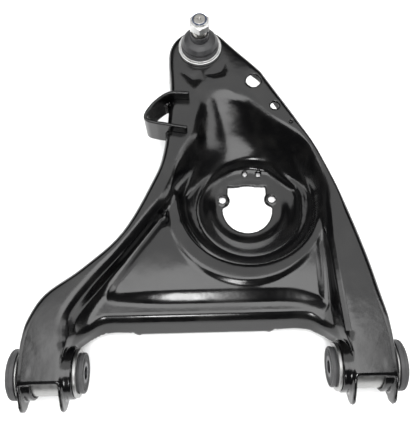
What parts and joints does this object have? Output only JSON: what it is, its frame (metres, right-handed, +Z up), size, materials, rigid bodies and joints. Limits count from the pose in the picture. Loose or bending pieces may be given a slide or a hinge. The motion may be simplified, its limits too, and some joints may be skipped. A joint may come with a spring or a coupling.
{
  "type": "control arm",
  "caption": "Pressed-steel front lower A-arm with a coil-spring pocket, a greasable ball joint and bonded rubber pivot bushings.",
  "frame": {"origin": "on the plane that the arm lies on, under the middle of its length and width", "axes": "+X along the pivot axis towards the straight leg, +Y from the pivot axis to the ball joint, +Z up along the ball stud"},
  "size_m": [0.443, 0.4919, 0.122],
  "materials": {
    "black_paint": "gloss black electrocoat",
    "zinc_plate": "bright zinc plate",
    "bare_steel": "turned steel",
    "bushing_rubber": "matte grey-black moulded rubber",
    "boot_rubber": "satin black moulded rubber",
    "blue_nylon": "dark blue nylon",
    "acetal": "natural acetal"
  },
  "bodies": {
    "arm": {"arm_shell": "black_paint", "bump_stop_bracket": "black_paint", "ball_joint_housing": "zinc_plate", "bearing_seat": "acetal", "pressure_washer": "bare_steel", "housing_cover": "zinc_plate", "grease_fitting": "zinc_plate", "boot_lower_ring": "zinc_plate", "left_bushing_shell": "zinc_plate", "left_bushing_end_washer": "zinc_plate", "left_bushing_rubber": "bushing_rubber", "left_bushing_bumper": "bushing_rubber", "right_bushing_shell": "zinc_plate", "right_bushing_end_washer": "zinc_plate", "right_bushing_rubber": "bushing_rubber", "right_bushing_bumper": "bushing_rubber"},
    "boot": {"dust_boot": "boot_rubber"},
    "boot_collar": {"boot_upper_ring": "boot_rubber"},
    "stud": {"ball_stud": "bare_steel", "lock_nut": "zinc_plate", "nylon_insert": "blue_nylon"},
    "left_sleeve": {"left_bushing_inner_sleeve": "bare_steel"},
    "right_sleeve": {"right_bushing_inner_sleeve": "bare_steel"}
  },
  "joints": [
    {"name": "stud_rock", "type": "hinge", "parent": "arm", "child": "boot", "pos_m": [0, 0.21, 0.048], "axis": [1, 0, 0], "range_deg": [-18, 18], "deforming": ["dust_boot"]},
    {"name": "stud_swing", "type": "hinge", "parent": "boot", "child": "boot_collar", "pos_m": [0, 0.21, 0.048], "axis": [0, 1, 0], "range_deg": [-18, 18]},
    {"name": "stud_spin", "type": "hinge", "parent": "boot_collar", "child": "stud", "pos_m": [0, 0.21, 0.048], "axis": [0, 0, 1], "continuous": true},
    {"name": "left_pivot", "type": "hinge", "parent": "arm", "child": "left_sleeve", "pos_m": [-0.183, -0.204, 0.032], "axis": [1, 0, 0], "range_deg": [-20, 20], "stiffness_Nm_per_rad": 40},
    {"name": "right_pivot", "type": "hinge", "parent": "arm", "child": "right_sleeve", "pos_m": [0.183, -0.204, 0.032], "axis": [1, 0, 0], "range_deg": [-20, 20], "stiffness_Nm_per_rad": 40}
  ]
}
